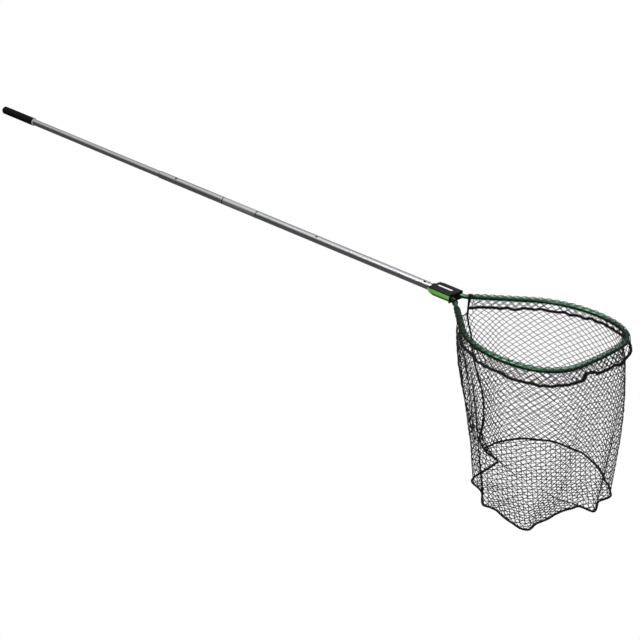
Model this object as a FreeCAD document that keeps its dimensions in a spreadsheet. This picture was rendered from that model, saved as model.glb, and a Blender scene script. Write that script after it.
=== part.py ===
import FreeCAD, Part
import math
import os
import re
import Sketcher

# A landing net: a two-piece telescoping handle, a green hoop held in a clamshell yoke, and a
# deep net bag sewn round the hoop. +X runs from the grip to the hoop, +Z is up, and the bag
# hangs down. The origin is the middle of the grip, on the handle's axis. Millimetres.

V = FreeCAD.Vector
X_AXIS, Y_AXIS, Z_AXIS = V(1, 0, 0), V(0, 1, 0), V(0, 0, 1)

# Driving dimensions: alias, value, meaning.
DIMENSIONS = [
    ("grip_length", 195, "grip with its end cap"),
    ("grip_od", 32, "grip sleeve outside diameter"),
    ("grip_edge_round", 3, "rounding of the sleeve's front edge"),
    ("cap_wall", 9, "end cap outside the tube"),
    ("cap_round", 8, "rounding of the end cap"),
    ("cap_plug_length", 24, "end cap inside the tube"),
    ("grip_ring_length", 3, "pale trim ring in front of the sleeve"),
    ("grip_ring_od", 29, "trim ring outside diameter"),
    ("inner_od", 25.4, "rear handle tube and hoop stub outside diameter"),
    ("inner_wall", 1.25, "their wall"),
    ("outer_od", 28.6, "main handle tube outside diameter"),
    ("outer_wall", 1.15, "its wall"),
    ("button_reach", 955, "grip middle to extension button"),
    ("inner_overlap", 60, "rear tube past the extension button"),
    ("rear_setback", 90, "main tube behind the extension button"),
    ("outer_length", 1341, "main tube"),
    ("front_setback", 14, "main tube in front of the head button"),
    ("retract_travel", 733, "extension button to the hole for the short handle"),
    ("end_ring_length", 1.5, "edging ring on the main tube's rear end"),
    ("slide_gap", 0.4, "edging ring clear of the rear tube"),
    ("label_start", 340, "rear end of the main tube to its blank band"),
    ("label_length", 189, "blank band"),
    ("label_thickness", 0.15, "blank band's film"),
    ("stub_insertion", 75, "hoop stub inside the main tube"),
    ("neck_length", 19, "bare stub between main tube and collar"),
    ("collar_length", 3, "collar behind the yoke"),
    ("collar_seat", 9, "collar inside the yoke"),
    ("collar_od", 34, "collar outside diameter"),
    ("plug_flange", 3, "end plug outside its tube"),
    ("plug_length", 14, "end plug inside its tube"),
    ("plug_bore", 12, "hole through the end plugs"),
    ("button_diameter", 8, "snap button"),
    ("button_gap", 0.3, "snap button clear of its holes, all round"),
    ("button_stand", 2.4, "snap button above the tube"),
    ("button_press", 4.2, "snap button travel"),
    ("button_round", 1.6, "rounding of the snap button"),
    ("button_flange", 11, "snap button's flange diameter"),
    ("button_flange_thickness", 1.2, "snap button's flange"),
    ("button_flange_drop", 1.9, "flange below the top of the tube's bore"),
    ("spring_strip", 0.8, "snap spring's strip thickness"),
    ("spring_width", 7, "snap spring's strip width"),
    ("spring_back", 38, "snap spring behind the button"),
    ("spring_front", 8, "snap spring's upper leaf past the button"),
    ("spring_nose", 5, "snap spring's bend radius"),
    ("spring_gap", 0.3, "snap spring clear of the button and the bore"),
    ("yoke_length", 98, "yoke"),
    ("yoke_width", 74, "yoke"),
    ("yoke_below", 14.5, "yoke below the handle's axis"),
    ("yoke_split", 11, "yoke's parting plane above the axis"),
    ("yoke_plate", 3, "cover's plate thickness"),
    ("yoke_edge", 2, "cover's plate inside the base's edge"),
    ("yoke_heel", 19, "slanted rear lower corner of the base"),
    ("yoke_foot", 54, "yoke's width at its lower face"),
    ("yoke_round", 3, "rounding of the base's lower long edges"),
    ("rib_od", 36, "cover's rib over each hoop leg"),
    ("hump_od", 34, "cover's hump over the stub"),
    ("front_lip", 3, "cover's lip down over the base's front face"),
    ("groove_width", 1.6, "groove along the base's sides"),
    ("groove_depth", 1.2, "groove along the base's sides"),
    ("groove_height", 1.5, "groove below the handle's axis"),
    ("stub_stop", 10, "stub short of the yoke's front face"),
    ("seat_gap", 0.1, "yoke clear of the tubes that it holds"),
    ("plate_length", 60, "blank name plate"),
    ("plate_width", 9, "blank name plate"),
    ("plate_thickness", 1.2, "blank name plate"),
    ("plate_recess", 0.6, "blank name plate sunk into the hump"),
    ("screw_inset", 17, "yoke screws from the yoke's ends"),
    ("screw_diameter", 3.6, "yoke screw shank"),
    ("screw_head", 7, "yoke screw head diameter"),
    ("screw_head_height", 2.4, "yoke screw head"),
    ("screw_socket", 1.9, "circumradius of the hexagon socket"),
    ("screw_reach", 2.4, "yoke screw in the cover"),
    ("hoop_od", 16, "hoop tube outside diameter"),
    ("hoop_wall", 1.4, "its wall"),
    ("hoop_tip", 591, "yoke front to the hoop's far side"),
    ("front_radius", 1500, "hoop's far side"),
    ("corner_height", 115, "centre of the front corners from the axis"),
    ("corner_radius", 165, "hoop's front corners"),
    ("corner_end", 72, "angle at which a corner turns into a side"),
    ("side_radius", 288, "hoop's sides"),
    ("leg_angle", 46.5, "straight legs to the axis"),
    ("leg_spacing", 52, "between the legs inside the yoke"),
    ("leg_bend", 32, "bend of each leg at the yoke"),
    ("leg_stop", 6, "hoop leg short of the yoke's rear face"),
    ("leg_plug_length", 12, "plug inside each leg's end"),
    ("leg_pin_diameter", 4, "pin that holds each leg"),
    ("leg_pin_depth", 3, "leg pin in the base, below the leg"),
    ("bag_depth", 560, "hoop to the bag's bottom seam"),
    ("bag_nose", 110, "bag outline's radius at the yoke, at its top"),
    ("bottom_nose", 265, "the same at the bottom seam"),
    ("bag_wall", 2, "net wall"),
    ("mesh_gap", 0.5, "top of the net wall below the mesh stops"),
    ("bag_taper", 20, "bottom seam inside the hoop's outline"),
    ("bag_lean", 20, "bottom seam moved towards the hoop's far side"),
    ("bag_sag", 26, "bottom panel below its seam"),
    ("bag_sag_inset", 62, "lowest part of the panel inside its seam"),
    ("band_depth", 48, "doubled mesh band below the hoop's plane"),
    ("band_wall", 2, "doubled mesh band"),
    ("band_gap", 0.5, "doubled mesh band clear of the wall"),
    ("hem_diameter", 10, "hem cord"),
    ("bottom_cord_diameter", 7, "cord on the bottom seam"),
    ("seam_cord_diameter", 7, "cord on the side seam"),
    ("cord_gap", 0.5, "cords clear of the mesh"),
    ("sleeve_length", 9, "mesh stop ring on each leg"),
    ("sleeve_wall", 2.5, "mesh stop ring on each leg"),
    ("sleeve_offset", 3, "mesh stop ring past the leg's bend"),
    ("clock_angle", 28, "snap buttons turned from the top towards -Y"),
]

# Derived sizes and places, as expressions of the driving dimensions and of each other.
DERIVED = {
    "grip_rear": "-grip_length / 2",
    "grip_front": "grip_length / 2",
    "inner_rear": "grip_rear + cap_wall",
    "inner_front": "button_reach + inner_overlap",
    "inner_bore": "inner_od - 2 * inner_wall",
    "outer_bore": "outer_od - 2 * outer_wall",
    "outer_rear": "button_reach - rear_setback",
    "outer_front": "outer_rear + outer_length",
    "mid_hole": "button_reach + retract_travel",
    "head_reach": "outer_front - front_setback",
    "hole_radius": "button_diameter / 2 + button_gap",
    "stub_rear": "outer_front - stub_insertion",
    "yoke_rear": "outer_front + neck_length + collar_length",
    "yoke_front": "yoke_rear + yoke_length",
    "stub_front": "yoke_front - stub_stop",
    "button_top": "outer_od / 2 + button_stand",
    "flange_top": "inner_bore / 2 - button_flange_drop",
    "flange_bottom": "flange_top - button_flange_thickness",
    "leaf_top": "flange_bottom - spring_gap",
    "leaf_floor": "-inner_bore / 2 + spring_gap + spring_floor_rise",
    "spring_floor_rise": "spring_width * spring_width / (4 * inner_bore)",
    "hump_top": "hump_od / 2",
    "screw_y": "(leg_spacing / 2 - hoop_od / 2 + inner_od / 2) / 2",
    "hoop_bore": "hoop_od - 2 * hoop_wall",
    "bag_drop": "hoop_od / 2 + sleeve_wall + mesh_gap",
}

doc = FreeCAD.newDocument("landing_net")
nodes = []


# ---------------------------------------------------------------- sheet and expressions

def make_sheet():
    sheet = doc.addObject("Spreadsheet::Sheet", "dims")
    for row, (alias, value, meaning) in enumerate(DIMENSIONS, start=1):
        sheet.set("A%d" % row, meaning)
        sheet.set("B%d" % row, str(value))
        sheet.setAlias("B%d" % row, alias)
    doc.recompute()
    return sheet


dims = make_sheet()
ALIASES = {alias for alias, value, meaning in DIMENSIONS}


def bound(text):
    """The expression that FreeCAD evaluates: aliases read from the sheet, derived names spelt out."""
    def spell(match):
        word = match.group()
        if word in ALIASES:
            return "dims." + word
        if word in DERIVED:
            return "(" + bound(DERIVED[word]) + ")"
        return word
    return re.sub(r"[a-z_][a-z_0-9]*", spell, str(text))


def size(text):
    """The present value of an expression."""
    return float(dims.evalExpression(bound(text)))


def keep(obj, label):
    obj.Label = label
    nodes.append(obj)
    return obj


# ---------------------------------------------------------------- sketches and features

def new_body(label):
    return keep(doc.addObject("PartDesign::Body", label), label)


def new_sketch(body, name, role, offset="0"):
    """A sketch on one of the body's own origin planes, moved along the plane's normal."""
    plane = [f for f in body.Origin.OriginFeatures if f.Role == role][0]
    sketch = body.newObject("Sketcher::SketchObject", body.Name + "_" + name)
    sketch.AttachmentSupport = [(plane, "")]
    sketch.MapMode = "FlatFace"
    sketch.setExpression("AttachmentOffset.Base.z", bound(offset))
    return sketch


def constrain(sketch, kind, where, text):
    """A driving constraint bound to an expression."""
    index = sketch.addConstraint(Sketcher.Constraint(kind, *where, size(text)))
    sketch.setExpression("Constraints[%d]" % index, bound(text))


def draw_circle(sketch, radius, at=("0", "0")):
    centre = V(size(at[0]), size(at[1]), 0)
    edge = sketch.addGeometry(Part.Circle(centre, Z_AXIS, size(radius)), False)
    constrain(sketch, "DistanceX", (-1, 1, edge, 3), at[0])
    constrain(sketch, "DistanceY", (-1, 1, edge, 3), at[1])
    constrain(sketch, "Radius", (edge,), radius)


def draw_outline(sketch, points):
    """A closed outline of straight lines through points given as pairs of expressions."""
    spots = [V(size(x), size(y), 0) for x, y in points]
    first = sketch.GeometryCount
    for index, spot in enumerate(spots):
        following = spots[(index + 1) % len(spots)]
        sketch.addGeometry(Part.LineSegment(spot, following), False)
    for index, (x, y) in enumerate(points):
        before = first + (index - 1) % len(points)
        sketch.addConstraint(Sketcher.Constraint("Coincident", before, 2, first + index, 1))
        constrain(sketch, "DistanceX", (-1, 1, first + index, 1), x)
        constrain(sketch, "DistanceY", (-1, 1, first + index, 1), y)


def draw_rectangle(sketch, low, high):
    draw_outline(sketch, [low, (high[0], low[1]), high, (low[0], high[1])])


def pad(body, sketch, length):
    feature = body.newObject("PartDesign::Pad", body.Name + "_pad")
    feature.Profile = sketch
    feature.setExpression("Length", bound(length))
    doc.recompute()
    return feature


def pocket(body, sketch, length, towards_normal=False, both_ways=False):
    """A cut, checked to have taken something away."""
    before = body.Shape.Volume
    feature = body.newObject("PartDesign::Pocket", body.Name + "_" + sketch.Name + "_cut")
    feature.Profile = sketch
    feature.Reversed = towards_normal
    feature.Midplane = both_ways
    feature.setExpression("Length", bound(length))
    doc.recompute()
    if body.Shape.Volume >= before:
        raise RuntimeError("%s cuts nothing" % feature.Name)
    return feature


def round_edges(body, radius, test):
    """A fillet on the edges of the body's tip that pass the test."""
    tip = body.Tip
    names = ["Edge%d" % (i + 1) for i, edge in enumerate(tip.Shape.Edges) if test(edge)]
    feature = body.newObject("PartDesign::Fillet", body.Name + "_round")
    feature.Base = (tip, names)
    feature.setExpression("Radius", bound(radius))
    doc.recompute()
    return feature


def ring_edge_at(x, radius):
    """Tests for a circle round the X axis, at a place and of a radius."""
    def test(edge):
        curve = edge.Curve
        if curve.TypeId != "Part::GeomCircle":
            return False
        return abs(curve.Center.x - size(x)) < 0.01 and abs(curve.Radius - size(radius)) < 0.01
    return test


def turned(label, points, axis="H_Axis"):
    """A body of revolution: its half section is drawn in the XZ plane."""
    body = new_body(label)
    sketch = new_sketch(body, "profile", "XZ_Plane")
    draw_outline(sketch, points)
    feature = body.newObject("PartDesign::Revolution", label + "_turn")
    feature.Profile = sketch
    feature.ReferenceAxis = (sketch, [axis])
    feature.Angle = 360
    doc.recompute()
    return body


def turned_ring(label, start, end, bore, od):
    inner, outer = "(%s) / 2" % bore, "(%s) / 2" % od
    return turned(label, [(start, inner), (end, inner), (end, outer), (start, outer)])


def clock(obj):
    """Turns a piece about the handle's axis, so that its button faces a little to one side."""
    obj.Placement = FreeCAD.Placement(V(0, 0, 0), FreeCAD.Rotation(X_AXIS, 1))
    obj.setExpression("Placement.Rotation.Angle", bound("clock_angle"))


def part_box(name, x, y, z, length, width, height):
    box = doc.addObject("Part::Box", name)
    for prop, text in (("Length", length), ("Width", width), ("Height", height),
                       ("Placement.Base.x", x), ("Placement.Base.y", y), ("Placement.Base.z", z)):
        box.setExpression(prop, bound(text))
    return box


def part_cylinder(name, x, y, z, radius, height, along=X_AXIS):
    cylinder = doc.addObject("Part::Cylinder", name)
    cylinder.Placement = FreeCAD.Placement(V(0, 0, 0), FreeCAD.Rotation(Z_AXIS, along))
    for prop, text in (("Radius", radius), ("Height", height),
                       ("Placement.Base.x", x), ("Placement.Base.y", y), ("Placement.Base.z", z)):
        cylinder.setExpression(prop, bound(text))
    return cylinder


def part_sphere(name, x, y, z, radius):
    sphere = doc.addObject("Part::Sphere", name)
    for prop, text in (("Radius", radius), ("Placement.Base.x", x), ("Placement.Base.y", y),
                       ("Placement.Base.z", z)):
        sphere.setExpression(prop, bound(text))
    return sphere


def fused(name, shapes):
    union = doc.addObject("Part::MultiFuse", name)
    union.Shapes = shapes
    return union


def cut(name, base, tools):
    result = doc.addObject("Part::Cut", name)
    result.Base = base
    result.Tool = tools[0] if len(tools) == 1 else fused(name + "_tools", tools)
    doc.recompute()
    if result.Shape.Volume >= base.Shape.Volume:
        raise RuntimeError("%s cuts nothing" % name)
    return result


# ---------------------------------------------------------------- handle

def grip():
    sleeve = turned_ring("grip_sleeve", "inner_rear", "grip_front", "inner_od", "grip_od")
    round_edges(sleeve, "grip_edge_round", ring_edge_at("grip_front", "grip_od / 2"))
    cap = turned("grip_end_cap", [
        ("grip_rear", "0"),
        ("inner_rear + cap_plug_length", "0"),
        ("inner_rear + cap_plug_length", "inner_bore / 2"),
        ("inner_rear", "inner_bore / 2"),
        ("inner_rear", "grip_od / 2"),
        ("grip_rear", "grip_od / 2"),
    ])
    round_edges(cap, "cap_round", ring_edge_at("grip_rear", "grip_od / 2"))
    turned_ring("grip_ring", "grip_front", "grip_front + grip_ring_length", "inner_od", "grip_ring_od")


def tube(label, start, end, bore, od, holes):
    """A round tube along X with button holes through its upper wall."""
    body = new_body(label)
    section = new_sketch(body, "section", "YZ_Plane", start)
    draw_circle(section, "(%s) / 2" % od)
    draw_circle(section, "(%s) / 2" % bore)
    pad(body, section, "(%s) - (%s)" % (end, start))
    for index, place in enumerate(holes):
        hole = new_sketch(body, "hole%d" % index, "XY_Plane")
        draw_circle(hole, "hole_radius", (place, "0"))
        pocket(body, hole, od, towards_normal=True)
    clock(body)
    return body


def end_plug(label, face, inwards):
    """A plug in a 25.4 mm tube's end. Inwards is the sign of the way into the tube along X."""
    flange = "%s - (%d) * plug_flange" % (face, inwards)
    inside = "%s + (%d) * plug_length" % (face, inwards)
    turned(label, [
        (flange, "plug_bore / 2"),
        (inside, "plug_bore / 2"),
        (inside, "inner_bore / 2"),
        (face, "inner_bore / 2"),
        (face, "inner_od / 2"),
        (flange, "inner_od / 2"),
    ])


def snap_button(label, reach):
    """A button that stands out of both tubes, with a flange under the inner tube's wall."""
    body = turned(label, [
        ("0", "flange_bottom"),
        ("button_flange / 2", "flange_bottom"),
        ("button_flange / 2", "flange_top"),
        ("button_diameter / 2", "flange_top"),
        ("button_diameter / 2", "button_top"),
        ("0", "button_top"),
    ], axis="V_Axis")
    def crown(edge):
        curve = edge.Curve
        return curve.TypeId == "Part::GeomCircle" and abs(curve.Center.z - size("button_top")) < 0.01
    round_edges(body, "button_round", crown)
    clock(body)
    body.setExpression("Placement.Base.x", bound(reach))


def snap_spring(label, reach):
    """A strip bent into a V: one leaf lies on the bore, the other carries the button."""
    body = new_body(label)
    sketch = new_sketch(body, "strip", "XZ_Plane")
    rear = "-spring_back"
    front = "spring_front"
    draw_outline(sketch, [
        (rear + " + spring_nose", "leaf_floor"),
        (front, "leaf_floor"),
        (front, "leaf_floor + spring_strip"),
        (rear + " + spring_nose", "leaf_floor + spring_strip"),
        (rear + " + spring_strip", "leaf_floor + spring_nose"),
        (rear + " + spring_nose", "leaf_floor + 2 * spring_nose"),
        ("-button_flange / 2", "leaf_top - spring_strip"),
        (front, "leaf_top - spring_strip"),
        (front, "leaf_top"),
        ("-button_flange / 2", "leaf_top"),
        (rear + " + spring_nose", "leaf_floor + 2 * spring_nose + spring_strip"),
        (rear, "leaf_floor + spring_nose"),
    ])
    feature = pad(body, sketch, "spring_width")
    feature.Midplane = True
    clock(body)
    body.setExpression("Placement.Base.x", bound(reach))


def rear_handle():
    grip()
    tube("inner_tube", "inner_rear", "inner_front", "inner_bore", "inner_od", ["button_reach"])
    end_plug("inner_tube_plug", "inner_front", -1)
    snap_spring("extension_spring", "button_reach")
    snap_button("extension_button", "button_reach")


def main_handle():
    holes = ["button_reach", "mid_hole", "head_reach"]
    tube("outer_tube", "outer_rear", "outer_front", "outer_bore", "outer_od", holes)
    turned_ring("tube_end_ring", "outer_rear - end_ring_length", "outer_rear",
                "inner_od + 2 * slide_gap", "outer_od")
    turned_ring("label_band", "outer_rear + label_start", "outer_rear + label_start + label_length",
                "outer_od", "outer_od + 2 * label_thickness")


# ---------------------------------------------------------------- yoke

def screw_places():
    """The four yoke screws: between each hoop leg and the stub, near the yoke's two ends."""
    for x in ("yoke_rear + screw_inset", "yoke_front - screw_inset"):
        for side in (-1, 1):
            yield x, "(%d) * screw_y" % side


def yoke_cavities(name):
    """The room for the stub, both hoop legs, the collar and the screws, shared by both halves."""
    clearance = "seat_gap"
    tools = [part_cylinder(name + "_stub_seat", "yoke_rear", "0", "0",
                           "inner_od / 2 + " + clearance, "stub_front - yoke_rear + " + clearance)]
    tools.append(part_cylinder(name + "_collar_seat", "yoke_rear", "0", "0",
                               "collar_od / 2 - collar_length + " + clearance, "collar_seat"))
    for side in (-1, 1):
        tools.append(part_cylinder("%s_leg_seat%d" % (name, side + 1), "yoke_rear + leg_stop - " + clearance,
                                   "(%d) * leg_spacing / 2" % side, "0",
                                   "hoop_od / 2 + " + clearance, "yoke_length"))
        mouth = doc.addObject("Part::Feature", "%s_bend_seat%d" % (name, side + 1))
        mouth.Shape = swept([hoop_half(side)[0][-2]], size("hoop_od / 2 + " + clearance))
        mouth.Placement.Base = V(size("yoke_front"), 0, 0)
        tools.append(mouth)
    for index, (x, y) in enumerate(screw_places()):
        tools.append(part_cylinder("%s_screw%d" % (name, index), x, y, "-yoke_below",
                                   "screw_diameter / 2", "yoke_below + yoke_split + screw_reach", Z_AXIS))
    return tools


def leg_channel(name, side):
    """Opens a leg's seat upwards, so that the leg drops into the base."""
    return part_box(name, "yoke_rear + leg_stop - seat_gap",
                    "(%d) * leg_spacing / 2 - hoop_od / 2 - seat_gap" % side, "0",
                    "yoke_length", "hoop_od + 2 * seat_gap", "yoke_split")


def yoke_base():
    block = new_body("yoke_base_block")
    nodes.remove(block)
    plan = new_sketch(block, "plan", "YZ_Plane", "yoke_rear")
    knee = "-groove_height - groove_width / 2"
    draw_outline(plan, [("-yoke_width / 2", "yoke_split"), ("-yoke_width / 2", knee),
                        ("-yoke_foot / 2", "-yoke_below"), ("yoke_foot / 2", "-yoke_below"),
                        ("yoke_width / 2", knee), ("yoke_width / 2", "yoke_split")])
    pad(block, plan, "yoke_length - front_lip")
    def lower_long_edge(edge):
        middle = edge.CenterOfMass
        low = abs(middle.z + size("yoke_below")) < 0.01
        return low and abs(abs(middle.y) - size("yoke_foot / 2")) < 0.01
    round_edges(block, "yoke_round", lower_long_edge)
    heel = new_sketch(block, "heel", "XZ_Plane")
    draw_outline(heel, [("yoke_rear", "-yoke_below"), ("yoke_rear + yoke_heel", "-yoke_below"),
                        ("yoke_rear", "-yoke_below + yoke_heel")])
    pocket(block, heel, "2 * yoke_width", both_ways=True)
    tools = yoke_cavities("base")
    tools += [leg_channel("base_leg_channel%d" % (side + 1), side) for side in (-1, 1)]
    tools.append(part_box("base_stub_channel", "yoke_rear", "-inner_od / 2 - seat_gap", "0",
                          "stub_front - yoke_rear + seat_gap", "inner_od + 2 * seat_gap", "yoke_split"))
    tools.append(part_box("base_collar_channel", "yoke_rear",
                          "-collar_od / 2 + collar_length - seat_gap", "0", "collar_seat",
                          "collar_od - 2 * collar_length + 2 * seat_gap", "yoke_split"))
    for side in (-1, 1):
        inner_face = "(%d) * (yoke_width / 2 - groove_depth)" % side
        low_y = inner_face if side > 0 else "-yoke_width / 2"
        tools.append(part_box("base_groove%d" % (side + 1), "yoke_rear", low_y,
                              "-groove_height - groove_width / 2", "yoke_length", "groove_depth",
                              "groove_width"))
        tools.append(part_cylinder("base_pin_hole%d" % (side + 1), "yoke_rear + yoke_length / 2",
                                   "(%d) * leg_spacing / 2" % side, "-hoop_od / 2 - leg_pin_depth",
                                   "leg_pin_diameter / 2", "hoop_od", Z_AXIS))
    for index, (x, y) in enumerate(screw_places()):
        tools.append(part_cylinder("base_counterbore%d" % index, x, y, "-yoke_below",
                                   "screw_head / 2 + seat_gap", "screw_head_height", Z_AXIS))
    keep(cut("yoke_base", block, tools), "yoke_base")


def yoke_cover():
    plate = part_box("cover_plate", "yoke_rear", "-yoke_width / 2 + yoke_edge", "yoke_split",
                     "yoke_length", "yoke_width - 2 * yoke_edge", "yoke_plate")
    solids = [plate, part_cylinder("cover_hump", "yoke_rear", "0", "0", "hump_od / 2", "yoke_length")]
    for side in (-1, 1):
        y = "(%d) * leg_spacing / 2" % side
        solids.append(part_cylinder("cover_rib%d" % (side + 1), "yoke_rear + rib_od / 2", y, "0",
                                    "rib_od / 2", "yoke_length - rib_od / 2"))
        solids.append(part_sphere("cover_rib_end%d" % (side + 1), "yoke_rear + rib_od / 2", y, "0",
                                  "rib_od / 2"))
    solids.append(part_box("cover_lip", "yoke_front - front_lip", "-yoke_foot / 2", "-yoke_below",
                           "front_lip", "yoke_foot", "yoke_below + yoke_split"))
    above = cut("cover_above", fused("cover_raw", solids), [
        part_box("cover_below", "yoke_rear - 1", "-yoke_width", "yoke_split - yoke_width",
                 "yoke_length - front_lip + 1", "2 * yoke_width", "yoke_width")])
    keys = [above]
    for side in (-1, 1):
        keys.append(part_box("cover_key%d" % (side + 1), "yoke_rear + leg_stop",
                             "(%d) * leg_spacing / 2 - hoop_od / 2" % side, "hoop_od / 4",
                             "yoke_length - leg_stop", "hoop_od", "yoke_split - hoop_od / 4"))
    keys.append(part_box("cover_stub_key", "yoke_rear + collar_seat", "-inner_od / 2", "inner_od / 4",
                         "stub_front - yoke_rear - collar_seat", "inner_od",
                         "yoke_split - inner_od / 4"))
    raw = fused("cover_keyed", keys)
    tools = yoke_cavities("cover")
    tools.append(part_box("cover_under", "yoke_rear - 1", "-yoke_width", "-yoke_below - yoke_width",
                          "yoke_length + 2", "2 * yoke_width", "yoke_width"))
    for side in (-1, 1):
        tools.append(part_box("cover_beside%d" % (side + 1), "yoke_rear - 1",
                              "(%d) * yoke_width - yoke_width / 2" % side, "-yoke_width",
                              "yoke_length + 2", "yoke_width", "2 * yoke_width"))
    tools.append(part_box("cover_flat", "yoke_rear - 1", "-plate_width / 2", "hump_top - plate_recess",
                          "yoke_length + 2", "plate_width", "yoke_width"))
    keep(cut("yoke_cover", raw, tools), "yoke_cover")


def yoke_trim():
    collar = turned("yoke_collar", [
        ("yoke_rear - collar_length", "inner_od / 2"),
        ("yoke_rear + collar_seat - seat_gap", "inner_od / 2"),
        ("yoke_rear + collar_seat - seat_gap", "collar_od / 2 - collar_length"),
        ("yoke_rear", "collar_od / 2 - collar_length"),
        ("yoke_rear", "collar_od / 2"),
        ("yoke_rear - collar_length", "collar_od / 2"),
    ])
    round_edges(collar, "collar_length / 2", ring_edge_at("yoke_rear - collar_length", "collar_od / 2"))
    keep(part_box("name_plate", "yoke_rear + (yoke_length - plate_length) / 2", "-plate_width / 2",
                  "hump_top - plate_recess", "plate_length", "plate_width", "plate_thickness"),
         "name_plate")


def yoke_screws():
    for index, (x, y) in enumerate(screw_places(), start=1):
        label = "yoke_screw_%d" % index
        head = part_cylinder(label + "_head", x, y, "-yoke_below", "screw_head / 2",
                             "screw_head_height", Z_AXIS)
        shank = part_cylinder(label + "_shank", x, y, "-yoke_below", "screw_diameter / 2",
                              "yoke_below + yoke_split + screw_reach", Z_AXIS)
        socket = doc.addObject("Part::Prism", label + "_socket")
        socket.Polygon = 6
        for prop, text in (("Circumradius", "screw_socket"), ("Height", "screw_head_height * 0.6"),
                           ("Placement.Base.x", x), ("Placement.Base.y", y),
                           ("Placement.Base.z", "-yoke_below")):
            socket.setExpression(prop, bound(text))
        keep(cut(label, fused(label + "_raw", [head, shank]), [socket]), label)


# ---------------------------------------------------------------- hoop

class HoopOutline:
    """The hoop's centre line in its plane, from the yoke's front face: a chain of tangent arcs.

    An inset moves every arc and leg inwards by the same amount.
    """

    def __init__(self, inset=0.0):
        self.leg = math.radians(size("leg_angle"))
        corner_end = math.radians(size("corner_end"))
        front, corner, side = size("front_radius"), size("corner_radius"), size("side_radius")
        front_end = math.asin(size("corner_height") / (front - corner))
        front_centre = V(size("hoop_tip") - front, 0, 0)
        corner_centre = front_centre + self.ray(front_end) * (front - corner)
        side_centre = corner_centre + self.ray(corner_end) * (corner - side)
        side_end = math.pi / 2 + self.leg
        self.arcs = [
            (front_centre, front - inset, 0.0, front_end),
            (corner_centre, corner - inset, front_end, corner_end),
            (side_centre, side - inset, corner_end, side_end),
        ]
        self.leg_top = side_centre + self.ray(side_end) * (side - inset)
        self.leg_normal = self.ray(side_end)

    @staticmethod
    def ray(angle):
        return V(math.cos(angle), math.sin(angle), 0)

    def nose(self, radius):
        """The centre of a circle on the axis that touches both legs."""
        return V((radius - self.leg_top.dot(self.leg_normal)) / math.sin(self.leg), 0, 0)


def arc_edge(centre, radius, first, last, sign=1):
    points = [centre + HoopOutline.ray(a) * radius for a in (first, (first + last) / 2, last)]
    if sign < 0:
        points = [V(p.x, -p.y, p.z) for p in reversed(points)]
    return Part.Arc(*points).toShape()


def line_edge(start, end, sign=1):
    if sign < 0:
        start, end = V(end.x, -end.y, end.z), V(start.x, -start.y, start.z)
    return Part.LineSegment(start, end).toShape()


def hoop_half(sign):
    """Edges of one half of the hoop's centre line, from the far side back into the yoke."""
    outline = HoopOutline()
    bend, half_gap = size("leg_bend"), size("leg_spacing / 2")
    drop = outline.leg_top.y - half_gap - bend * (1 - math.cos(outline.leg))
    run = V(math.cos(outline.leg), math.sin(outline.leg), 0) * (drop / math.sin(outline.leg))
    leg_foot = outline.leg_top - run
    bend_centre = leg_foot - outline.ray(outline.leg - math.pi / 2) * bend
    edges = [arc_edge(*arc, sign) for arc in outline.arcs]
    edges.append(line_edge(outline.leg_top, leg_foot, sign))
    edges.append(arc_edge(bend_centre, bend, outline.leg - math.pi / 2, -math.pi / 2, sign))
    bend_foot = bend_centre - Y_AXIS * bend
    edges.append(line_edge(bend_foot, V(-size("yoke_length - leg_stop"), bend_foot.y, 0), sign))
    return edges, leg_foot


def swept(edges, radius):
    """A round bar along a chain of tangent edges."""
    path = Part.Wire(Part.__sortEdges__(edges))
    start = path.OrderedEdges[0]
    at = start.valueAt(start.FirstParameter)
    along = start.tangentAt(start.FirstParameter)
    ring = Part.Wire(Part.Circle(at, along, radius).toShape())
    bar = path.makePipeShell([ring], True, False)
    wanted = math.pi * radius * radius * path.Length
    if abs(bar.Volume / wanted - 1) > 0.01:
        raise RuntimeError("a bar's volume is %.3f of its section times its length" % (bar.Volume / wanted))
    return bar


def add_shape(label, shape, at_yoke=True):
    """A sub-part made with Part's own functions, drawn from the yoke's front face."""
    feature = doc.addObject("Part::Feature", label)
    feature.Shape = shape
    if at_yoke:
        feature.Placement = FreeCAD.Placement(V(size("yoke_front"), 0, 0), FreeCAD.Rotation())
    return keep(feature, label)


def hoop():
    edges = hoop_half(-1)[0] + hoop_half(1)[0]
    shape = swept(edges, size("hoop_od / 2")).cut(swept(edges, size("hoop_bore / 2")))
    pin_x = size("-yoke_length / 2")
    depth = size("hoop_od / 2 + leg_pin_depth")
    for side, name in ((-1, "right"), (1, "left")):
        y = side * size("leg_spacing / 2")
        pin = Part.makeCylinder(size("leg_pin_diameter / 2"), depth, V(pin_x, y, -depth))
        shape = shape.cut(pin)
        add_shape("leg_pin_" + name, pin)
        plug = Part.makeCylinder(size("hoop_bore / 2"), size("leg_plug_length"),
                                 V(-size("yoke_length - leg_stop"), y, 0), X_AXIS)
        add_shape("leg_plug_" + name, plug)
        direction = V(math.cos(HoopOutline().leg), side * math.sin(HoopOutline().leg), 0)
        foot = hoop_half(1)[1]
        start = V(foot.x, side * foot.y, 0) + direction * size("sleeve_offset")
        outer = Part.makeCylinder(size("hoop_od / 2 + sleeve_wall"), size("sleeve_length"), start, direction)
        inner = Part.makeCylinder(size("hoop_od / 2"), size("sleeve_length"), start, direction)
        add_shape("mesh_stop_" + name, outer.cut(inner))
    add_shape("hoop_tube", shape)


# ---------------------------------------------------------------- net bag

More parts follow.
